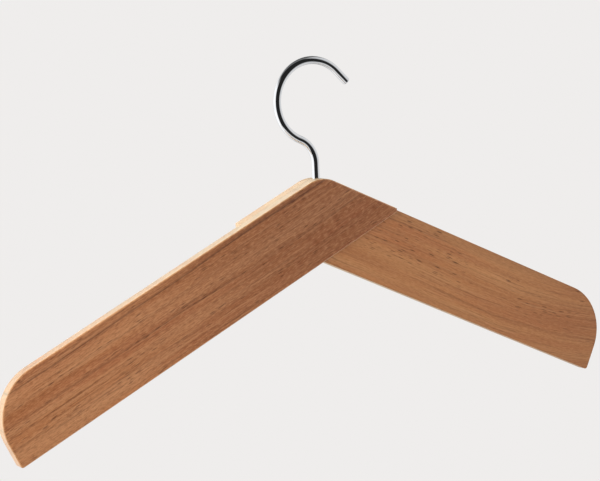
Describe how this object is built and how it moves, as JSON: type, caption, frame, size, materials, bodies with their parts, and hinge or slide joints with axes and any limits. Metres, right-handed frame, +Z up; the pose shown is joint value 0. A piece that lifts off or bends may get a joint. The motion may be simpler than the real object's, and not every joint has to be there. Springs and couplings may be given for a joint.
{
  "type": "clothes hanger",
  "caption": "Flat-board wooden clothes hanger: crossed boards glued face to face at the peak, with a bent chrome wire hook that swivels about its shank.",
  "frame": {"origin": "inner crown of the hook, where it sits on a rail, on the hook's swivel axis", "axes": "+Z up along the shank, +X along the arms to the right as seen from the front, +Y from the front board to the rear board; the glue plane is y = 0"},
  "size_m": [0.45, 0.016, 0.2313],
  "materials": {
    "front_arm_wood": "oiled hardwood, reddish brown, fine straight grain, thin satin oil finish",
    "rear_arm_wood": "oiled hardwood, golden brown, wavy grain with short dark flecks, satin",
    "hook_chrome": "polished bright chrome plate on steel wire",
    "zinc_steel": "dull zinc plate",
    "insert_plastic": "milky nylon",
    "dowel_wood": "raw pale hardwood, unfinished"
  },
  "bodies": {
    "hook_assembly": {"hook": "hook_chrome", "hook_washer": "zinc_steel", "lock_nut": "zinc_steel", "lock_nut_insert": "insert_plastic"},
    "arms": {"front_arm": "front_arm_wood", "rear_arm": "rear_arm_wood", "left_dowel": "dowel_wood", "right_dowel": "dowel_wood"}
  },
  "joints": [
    {"name": "hook_swivel", "type": "hinge", "parent": "hook_assembly", "child": "arms", "pos_m": [0, 0, -0.0886], "axis": [0, 0, 1], "continuous": true}
  ]
}
